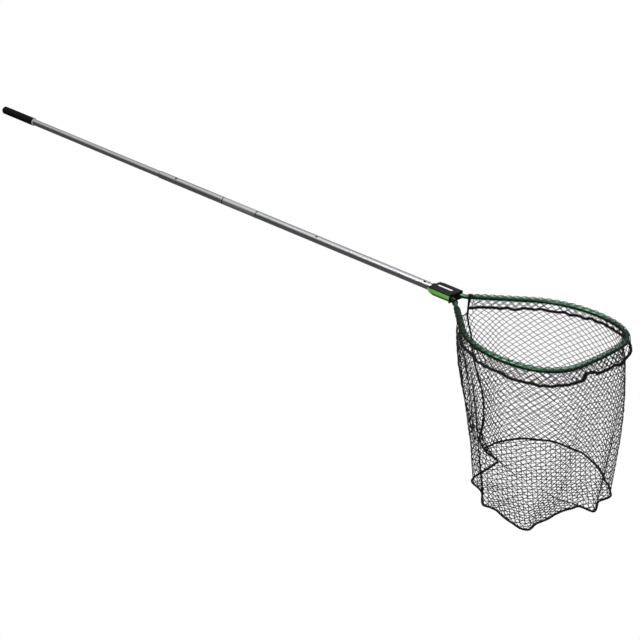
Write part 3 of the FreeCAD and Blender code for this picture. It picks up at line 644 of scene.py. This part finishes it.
    def mesh_of_grid(self):
        """The whole grid as a mesh, with its first column repeated at the end."""
        bm = bmesh.new()
        bmesh.ops.create_grid(bm, x_segments=self.COLUMNS, y_segments=len(self.grid) - 1, size=1)
        width = self.COLUMNS + 1
        bm.verts.ensure_lookup_table()
        for row, ring in enumerate(self.grid):
            for column in range(width):
                bm.verts[row * width + column].co = ring[column % self.COLUMNS]
        return bm

    def place(self, share, row):
        """The surface at a share round the rim and a row, between the grid's points."""
        row = min(max(row, 0), len(self.grid) - 1.0001)
        column = (share % 1.0) * self.COLUMNS
        r, c = int(row), int(column)
        across, down = column - c, row - r
        c, following = c % self.COLUMNS, (c + 1) % self.COLUMNS
        upper = self.grid[r][c].lerp(self.grid[r][following], across)
        lower = self.grid[r + 1][c].lerp(self.grid[r + 1][following], across)
        return upper.lerp(lower, down)

    def wall(self, share, depth):
        """The wall at a depth below its rim, in metres."""
        return self.place(share, depth / (WALL_HIGH.z - WALL_LOW.z) * self.WALL_ROWS)

    def panel_tree(self):
        """The bottom panel alone, closed in its middle, ready for ray casts."""
        bm = self.mesh_of_grid()
        width = self.COLUMNS + 1
        bm.verts.ensure_lookup_table()
        keep_from = self.WALL_ROWS * width
        bmesh.ops.delete(bm, geom=[v for v in bm.verts if v.index < keep_from], context="VERTS")
        bmesh.ops.remove_doubles(bm, verts=bm.verts, dist=0.00001)
        holes = [e for e in bm.edges if e.is_boundary]
        inner = [e for e in holes if (e.verts[0].co - self.middle()).length < 0.1]
        bmesh.ops.edgeloop_fill(bm, edges=inner)
        bmesh.ops.triangulate(bm, faces=bm.faces)
        tree = BVHTree.FromBMesh(bm)
        bm.free()
        return tree

    def middle(self):
        last = self.grid[-1]
        return sum(last, Vector()) / len(last)


BAG = {}


def the_bag():
    """The one draped surface that the netting and cords share."""
    if "bag" not in BAG:
        BAG["bag"] = Bag(settings().net.slack)
    return BAG["bag"]


# ------------------------------------------------------------------ operators

class LANDINGNET_OT_handle(bpy.types.Operator):
    """Finish the handle's tubes, plugs, springs and buttons"""
    bl_idname = "landing_net.handle"
    bl_label = "Handle"

    def execute(self, context):
        handle = settings().handle
        dress_nodes(tube_finish("Satin aluminium, rear tube", handle.tube), "inner_tube", "stub_tube")
        dress_nodes(tube_finish("Satin aluminium, main tube", handle.tube), "outer_tube")
        black = moulded_finish("Black nylon trim", settings().yoke.cover, 0.45, specular=0.25)
        dress_nodes(black, "inner_tube_plug", "stub_plug", "tube_end_ring", "leg_plug_left",
                    "leg_plug_right", "extension_button", "head_button")
        dress_nodes(steel_finish("Spring steel"), "extension_spring", "head_spring", "leg_pin_left",
                    "leg_pin_right")
        dress_nodes(band_finish("Blank printed band", handle.tube), "label_band")
        dress_nodes(moulded_finish("Pale trim ring", handle.ring, 0.42), "grip_ring")
        return {"FINISHED"}


class LANDINGNET_OT_grip(bpy.types.Operator):
    """Model the grip: a knurled foam sleeve with plain ends"""
    bl_idname = "landing_net.grip"
    bl_label = "Grip"

    RING_STEPS = 96
    ROWS = 260
    PLAIN_END = 0.012

    def execute(self, context):
        handle = settings().handle
        rubber = rubber_finish("Grip foam", handle.grip)
        dress_nodes(rubber, "grip_end_cap")
        bm = bmesh.new()
        start, end = GRIP_LOW.x, GRIP_HIGH.x
        tube_radius = (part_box("inner_tube")[1].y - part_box("inner_tube")[0].y) / 2
        bmesh.ops.create_circle(bm, segments=self.RING_STEPS, radius=GRIP_RADIUS,
                                matrix=Matrix.Rotation(math.pi / 2, 4, "Y"))
        bmesh.ops.translate(bm, verts=bm.verts, vec=(start, 0, 0))
        ring = list(bm.edges)
        for step in range(self.ROWS):
            made = bmesh.ops.extrude_edge_only(bm, edges=ring)["geom"]
            verts = [g for g in made if isinstance(g, bmesh.types.BMVert)]
            bmesh.ops.translate(bm, verts=verts, vec=((end - start) / self.ROWS, 0, 0))
            ring = [g for g in made if isinstance(g, bmesh.types.BMEdge)
                    and g.verts[0] in verts and g.verts[1] in verts]
        for vert in bm.verts:
            self.shape(vert, start, end, handle)
        rims = {round((start if side == 0 else end), 6): [] for side in (0, 1)}
        for side in (start, end):
            loop = [e for e in bm.edges if e.is_boundary and abs(e.verts[0].co.x - side) < 1e-5]
            made = bmesh.ops.extrude_edge_only(bm, edges=loop)["geom"]
            verts = [g for g in made if isinstance(g, bmesh.types.BMVert)]
            for vert in verts:
                across = Vector((0, vert.co.y, vert.co.z)).normalized() * tube_radius
                vert.co = Vector((side, across.y, across.z))
            rims[round(side, 6)] = [g for g in made if isinstance(g, bmesh.types.BMEdge)
                                    and g.verts[0] in verts and g.verts[1] in verts]
        bmesh.ops.bridge_loops(bm, edges=[e for loop in rims.values() for e in loop])
        bmesh.ops.recalc_face_normals(bm, faces=bm.faces)
        add_piece("grip_foam", bm, rubber, "rear_handle", "grip_rubber", ("grip_sleeve",))
        return {"FINISHED"}

    def shape(self, vert, start, end, handle):
        """Crossed grooves in the middle, a rounded lip at the front."""
        x = vert.co.x
        angle = math.atan2(vert.co.y, vert.co.z)
        inside = smooth(min(x - start, end - x) / self.PLAIN_END - 0.6)
        twist = x / GRIP_RADIUS
        one = abs(math.sin((angle + twist) * handle.knurl_starts / 2))
        two = abs(math.sin((angle - twist) * handle.knurl_starts / 2))
        groove = max(1 - one / 0.28, 1 - two / 0.28, 0)
        lip = 0.003
        past = max(x - (end - lip), 0)
        radius = GRIP_RADIUS - lip + math.sqrt(max(lip * lip - past * past, 0))
        radius -= handle.knurl_depth * smooth(groove) * inside
        vert.co.y, vert.co.z = math.sin(angle) * radius, math.cos(angle) * radius


class LANDINGNET_OT_yoke(bpy.types.Operator):
    """Soften and finish the yoke's mouldings"""
    bl_idname = "landing_net.yoke"
    bl_label = "Yoke"

    def execute(self, context):
        yoke = settings().yoke
        lime = moulded_finish("Lime green nylon", yoke.base, 0.40, 0.1)
        black = moulded_finish("Black nylon", yoke.cover, 0.36, specular=0.22)
        plate = moulded_finish("Pale name plate", yoke.plate, 0.35)
        for name, node, finish, slot in (
                ("yoke_green_base", "yoke_base", lime, "lime_plastic"),
                ("yoke_black_cover", "yoke_cover", black, "black_plastic"),
                ("yoke_black_collar", "yoke_collar", black, "black_plastic"),
                ("yoke_name_plate", "name_plate", plate, "name_plate_plastic")):
            bm = merged_copy(node)
            width = yoke.edge_round if node != "name_plate" else yoke.edge_round / 3
            soften_edges(bm, width)
            add_piece(name, bm, finish, "head", slot, (node,), smooth=False)
        dress_nodes(steel_finish("Screw steel"), *["yoke_screw_%d" % i for i in range(1, 5)])
        return {"FINISHED"}


class LANDINGNET_OT_hoop(bpy.types.Operator):
    """Finish the hoop tube and its mesh stops"""
    bl_idname = "landing_net.hoop"
    bl_label = "Hoop"

    def execute(self, context):
        dress_nodes(anodised_finish("Green anodised tube", settings().hoop.tube), "hoop_tube")
        dress_nodes(rubber_finish("Mesh stop rubber", settings().handle.grip), "mesh_stop_left",
                    "mesh_stop_right")
        return {"FINISHED"}


class LANDINGNET_OT_netting(bpy.types.Operator):
    """Knit the bag's wall, with the doubled band that loops over the hoop"""
    bl_idname = "landing_net.netting"
    bl_label = "Netting wall"

    PANELS = ("near_yoke", "near_side", "far_side", "far_yoke")
    BAND_LENGTH = 0.055
    # How far a strand is drawn to its neighbour at a joint, in strands.
    TOUCH = 0.40

    def execute(self, context):
        net = settings().net
        bag = the_bag()
        twine = coated_twine_finish("Coated twine", net.colour)
        cells = round(bag.top.length / net.cell_width)
        row_height = net.cell_height / 2
        wrap_radius = HOOP_RADIUS + net.strand * 1.1
        over = math.pi * wrap_radius
        wall_rows = round((WALL_HIGH.z - WALL_LOW.z) / row_height)
        start_row = -round((self.BAND_LENGTH + over) / row_height)
        strands = {panel: [] for panel in self.PANELS}
        for half_cell in range(cells * 2):
            share = (half_cell + 0.5) / (cells * 2)
            swing = (0.25 / cells) * (1 if half_cell % 2 else -1)
            line = []
            for row in range(start_row, wall_rows + 1):
                sign = 1 if row % 2 else -1
                touch = net.strand * self.TOUCH / bag.top.length
                reach = swing * sign
                reach -= math.copysign(touch, reach)
                for part in (-net.joint, net.joint):
                    run = (row + part) * row_height
                    place = self.place(bag, share + reach, run, wrap_radius, over, net)
                    if place is not None and (not line or (place - line[-1]).length > net.strand / 2):
                        line.append(place)
            strands[self.PANELS[int(share * len(self.PANELS))]].append(line)
        for panel, lines in strands.items():
            mesh = curve_mesh("netting_" + panel, lines, net.strand / 2, False, 2, 1)
            replaced = ("net_wall", "mesh_band") if panel == self.PANELS[0] else ()
            add_mesh("netting_" + panel, mesh, twine, "head", "net_mesh", replaced)
        return {"FINISHED"}

    def place(self, bag, share, run, wrap_radius, over, net):
        """A joint of the netting. Run is the way along the mesh from the top of the wall, downwards."""
        wobble = Vector((noise.noise(Vector((share * 190, run * 90, 3))),
                         noise.noise(Vector((share * 190, run * 90, 11))),
                         noise.noise(Vector((share * 190, run * 90, 23))))) * net.unevenness
        drop = bag.mouth_drop(share)
        if drop is not None:
            return None if run < drop - net.cell_height / 2 else bag.wall(share, max(run, drop)) + wobble
        if run >= 0:
            tuck = 1 - smooth(run / 0.07)
            return bag.wall(share, run) - bag.top.outwards(share) * wrap_radius * tuck + wobble
        base = bag.top.at(share)
        out = bag.top.outwards(share)
        top_gap = -WALL_HIGH.z
        if run > -top_gap:
            return base - out * wrap_radius + UP * (WALL_HIGH.z - run) + wobble * 0.3
        run += top_gap
        if run > -over:
            angle = math.pi + run / wrap_radius
            return base + (out * math.cos(angle) + UP * math.sin(angle)) * wrap_radius * 1.10 + wobble * 0.2
        down = -over - run
        if down > bag.hem_drop(share) + 0.002:
            return None
        spread = wrap_radius + 0.002 + bag.flare(share) * down / 0.04
        tucked = wrap_radius * (1 - 1.3 * smooth(down / 0.012))
        return base + out * (tucked + (spread - tucked) * bag.reach(share)) - UP * down + wobble


class LANDINGNET_OT_bottom(bpy.types.Operator):
    """Knit the sagging bottom panel"""
    bl_idname = "landing_net.bottom"
    bl_label = "Netting bottom"

    BELOW = 1.0
    # Half the width of the knitted square that the panel is cut from.
    HALF = 0.34

    def execute(self, context):
        net = settings().net
        bag = the_bag()
        tree = bag.panel_tree()
        row_step = net.cell_height / 2
        lines = []
        middle = bag.middle()
        count = round(2 * self.HALF / (net.cell_width / 2))
        steps = round(2 * self.HALF / row_step)
        for strand in range(count):
            y = middle.y - self.HALF + (strand + 0.5) * net.cell_width / 2
            swing = net.cell_width / 4 * (1 if strand % 2 else -1)
            swing -= math.copysign(net.strand * LANDINGNET_OT_netting.TOUCH, swing)
            line = []
            for step in range(2 * steps):
                row = step // 2
                x = middle.x - self.HALF + (row + (net.joint if step % 2 else -net.joint)) * row_step
                start = Vector((x, y + (swing if row % 2 else -swing), -self.BELOW))
                hit = tree.ray_cast(start, UP)[0]
                if hit is not None:
                    line.append(hit)
                elif line:
                    lines.append(line)
                    line = []
            if line:
                lines.append(line)
        lines = [line for line in lines if len(line) > 2]
        mesh = curve_mesh("netting_bottom", lines, net.strand / 2, False, 2, 1)
        twine = coated_twine_finish("Coated twine, bottom", net.colour)
        add_mesh("netting_bottom", mesh, twine, "head", "net_mesh", ("net_bottom",))
        return {"FINISHED"}


class LANDINGNET_OT_cords(bpy.types.Operator):
    """Lay the hem cord, the side seam, the bottom cord and the mouth cords at the yoke"""
    bl_idname = "landing_net.cords"
    bl_label = "Cords"

    HEM_STEPS, SEAM_STEPS, MOUTH_STEPS = 150, 18, 5
    # Share by which the near mouth cord reads the mouth's depth ahead of itself.
    MOUTH_LEAD = 0.0001
    # Shares of the rim in which the hem comes out of the near leg and runs into the far mouth cord.
    HEM_RISE, HEM_TIE = 0.03, 0.02

    def execute(self, context):
        cords = settings().cords
        bag = the_bag()
        fibre = laid_cord_finish("Laid cord", cords.colour)
        for name, line, radius, cyclic, node in (
                ("cord_hem", self.hem_line(bag, cords), HEM_RADIUS * cords.hem_plump, False, "hem_cord"),
                ("cord_bottom", self.bottom_line(bag), CORD_RADIUS * cords.plump, True, "bottom_cord"),
                ("cord_seam", self.seam_line(bag), SEAM_RADIUS, False, "seam_cord")):
            laid_cord(name, line, radius, fibre, cords.pitch, cyclic, (node,))
        for name, radius, line in self.mouth_lines(bag, cords):
            laid_cord(name, line, radius, fibre, cords.pitch)
        return {"FINISHED"}

    def hem_line(self, bag, cords):
        """Round the bag under the hoop, lifted and dropped by the mesh that it is threaded through."""
        line = []
        steps = self.HEM_STEPS
        start, end = bag.MOUTH_END + 0.003, 1.0 + bag.MOUTH_START
        tie = self.far_stop() - UP * bag.hem_drop(end)
        for step in range(steps + 1):
            share = start + (end - start) * step / steps
            turn = 2 * math.pi * share
            wave = noise.noise(Vector((math.cos(turn) * 7, math.sin(turn) * 7, 1))) * 1.1
            wave += noise.noise(Vector((math.cos(turn) * 15, math.sin(turn) * 15, 4))) * 1.2
            outwards = (HOOP_RADIUS + 0.006 + bag.flare(share)) * bag.reach(share) - 0.004
            depth = (bag.hem_drop(share) + cords.wave * wave) * smooth((share - start) / self.HEM_RISE)
            place = bag.top.at(share) + bag.top.outwards(share) * outwards - UP * depth
            line.append(place.lerp(tie, smooth((share - end) / self.HEM_TIE + 1)))
        return line

    def bottom_line(self, bag):
        """Round the bottom seam, just outside the mesh."""
        line = []
        for step in range(bag.COLUMNS):
            share = step / bag.COLUMNS
            line.append(bag.place(share, bag.WALL_ROWS) + bag.bottom.outwards(share) * CORD_RADIUS)
        return line

    def seam_line(self, bag):
        """Down the side nearest the yoke, from the mouth to the bottom cord."""
        line = []
        start = bag.mouth_drop(0)
        for step in range(self.SEAM_STEPS + 1):
            depth = start + (WALL_HIGH.z - WALL_LOW.z - start) * step / self.SEAM_STEPS
            line.append(bag.wall(0, depth) - Vector((SEAM_RADIUS, 0, 0)))
        return line

    @staticmethod
    def far_stop():
        """The middle of the rubber stop on the far leg."""
        return (STOP_LOW + STOP_HIGH) / 2

    def mouth_lines(self, bag, cords):
        """Short cords that tie the bag's mouth to both legs at the yoke."""
        stop = self.far_stop()
        middle = bag.wall(0, bag.mouth_drop(0))
        over = (HOOP_RADIUS + cords.mouth) * 0.6
        along = Vector((0.006, 0.006, 0))
        tail = UP * 0.008
        yield "cord_mouth_far", cords.mouth, [
            stop + Vector((over, -over, -over)), stop + Vector((over, -over, over)) + along,
            stop + Vector((-over, over, over)) + along, stop + Vector((-over, over, -over)),
            stop.lerp(middle, 0.4), stop.lerp(middle, 0.7), middle, middle - tail]
        near = bag.top.at(bag.MOUTH_END)
        rise = UP * HOOP_RADIUS * 1.2
        line = [near + rise, near + bag.top.outwards(bag.MOUTH_END) * HOOP_RADIUS * 1.3, near - rise]
        for step in range(1, self.MOUTH_STEPS + 1):
            share = bag.MOUTH_END * (1 - step / self.MOUTH_STEPS)
            line.append(bag.wall(share, bag.mouth_drop(share + self.MOUTH_LEAD)))
        yield "cord_mouth_near", cords.mouth / 2, line


class LANDINGNET_OT_stage(bpy.types.Operator):
    """Set the floor, the lights and the camera"""
    bl_idname = "landing_net.stage"
    bl_label = "Stage"

    def execute(self, context):
        stage = settings().stage
        self.floor(stage)
        self.lights()
        self.camera(stage)
        return {"FINISHED"}

    def floor(self, stage):
        bm = bmesh.new()
        bmesh.ops.create_grid(bm, x_segments=1, y_segments=1, size=60)
        bmesh.ops.translate(bm, verts=bm.verts, vec=(0, 0, -stage.floor_drop))
        mesh = bpy.data.meshes.new("floor")
        bm.to_mesh(mesh)
        bm.free()
        floor = bpy.data.objects.new("floor", mesh)
        bpy.context.scene.collection.objects.link(floor)
        finish = Finish("Pale floor", stage.floor, 0.9)
        # The floor looks pale to the camera, but throws little light back up at the net.
        ray = finish.add("ShaderNodeLightPath")
        dim = finish.add("ShaderNodeBsdfDiffuse")
        dim.inputs["Color"].default_value = (0.10, 0.10, 0.10, 1)
        glow = finish.add("ShaderNodeEmission")
        glow.inputs["Color"].default_value = (*stage.floor, 1)
        mix = finish.add("ShaderNodeMixShader")
        finish.links.new(ray.outputs["Is Camera Ray"], mix.inputs[0])
        finish.links.new(dim.outputs["BSDF"], mix.inputs[1])
        finish.links.new(glow.outputs["Emission"], mix.inputs[2])
        output = finish.nodes["Material Output"]
        finish.links.new(mix.outputs["Shader"], output.inputs["Surface"])
        dress(floor, finish.material)

    def lights(self):
        scene = bpy.context.scene
        world = bpy.data.worlds.new("Studio")
        world.use_nodes = True
        nodes, links = world.node_tree.nodes, world.node_tree.links
        where = nodes.new("ShaderNodeTexCoord")
        split = nodes.new("ShaderNodeSeparateXYZ")
        links.new(where.outputs["Generated"], split.inputs["Vector"])
        span = nodes.new("ShaderNodeMapRange")
        span.inputs["From Min"].default_value = -1
        links.new(split.outputs["Z"], span.inputs["Value"])
        ramp = nodes.new("ShaderNodeValToRGB")
        ramp.color_ramp.elements[0].color = (0.03, 0.03, 0.03, 1)
        ramp.color_ramp.elements[1].color = (1.0, 1.0, 1.0, 1)
        for place, shade in ((0.50, 0.04), (0.70, 0.16), (0.86, 0.80)):
            ramp.color_ramp.elements.new(place).color = (shade, shade, shade, 1)
        links.new(span.outputs["Result"], ramp.inputs["Fac"])
        links.new(ramp.outputs["Color"], nodes["Background"].inputs["Color"])
        nodes["Background"].inputs["Strength"].default_value = 0.9
        scene.world = world
        scene.view_settings.view_transform = "Standard"
        for name, place, size, power in (
                ("key", (0.9, -2.6, 4.4), 2.6, 170),
                ("fill", (4.6, -3.4, 2.6), 2.0, 40),
                ("back", (1.6, 3.6, 4.0), 2.6, 90)):
            light = bpy.data.lights.new(name, "AREA")
            light.shape = "DISK"
            light.size = size
            light.energy = power
            lamp = bpy.data.objects.new(name, light)
            lamp.location = place
            aim = Vector((1.7, 0, -0.1)) - Vector(place)
            lamp.rotation_euler = aim.to_track_quat("-Z", "Y").to_euler()
            scene.collection.objects.link(lamp)

    def camera(self, stage):
        scene = bpy.context.scene
        data = bpy.data.cameras.new("camera")
        data.lens = stage.lens
        data.sensor_width = 36
        camera = bpy.data.objects.new("camera", data)
        back = Vector((math.sin(stage.azimuth) * math.cos(stage.elevation),
                       -math.cos(stage.azimuth) * math.cos(stage.elevation), math.sin(stage.elevation)))
        target = YOKE_FRONT + Vector((-0.373, -0.261, -0.153))
        turn = back.to_track_quat("Z", "Y").to_matrix().to_4x4()
        turn = turn @ Matrix.Rotation(stage.roll, 4, "Z")
        camera.matrix_world = Matrix.Translation(target + back * stage.distance) @ turn
        scene.collection.objects.link(camera)
        scene.camera = camera


class LANDINGNET_PT_panel(bpy.types.Panel):
    """Lists the pieces and their settings"""
    bl_label = "Landing net"
    bl_idname = "LANDINGNET_PT_panel"
    bl_space_type = "VIEW_3D"
    bl_region_type = "UI"
    bl_category = "Net"

    def draw(self, context):
        for name, group in SETTINGS.items():
            box = self.layout.box()
            box.label(text=name.capitalize())
            for prop in group.__annotations__:
                box.prop(getattr(settings(), name), prop)
        for operator in OPERATORS:
            self.layout.operator(operator.bl_idname)


OPERATORS = (
    LANDINGNET_OT_handle,
    LANDINGNET_OT_grip,
    LANDINGNET_OT_yoke,
    LANDINGNET_OT_hoop,
    LANDINGNET_OT_netting,
    LANDINGNET_OT_bottom,
    LANDINGNET_OT_cords,
    LANDINGNET_OT_stage,
)
CLASSES = (*SETTINGS.values(), LandingNetSettings, *OPERATORS, LANDINGNET_PT_panel)


def register():
    for cls in CLASSES:
        bpy.utils.register_class(cls)
    bpy.types.Scene.landing_net = PointerProperty(type=LandingNetSettings, name="Landing net",
                                                  description="Sizes and colours of the landing net")


def unregister():
    del bpy.types.Scene.landing_net
    for cls in reversed(CLASSES):
        bpy.utils.unregister_class(cls)


def main():
    register()
    for operator in OPERATORS:
        group, name = operator.bl_idname.split(".")
        getattr(getattr(bpy.ops, group), name)()


if __name__ == "__main__":
    main()
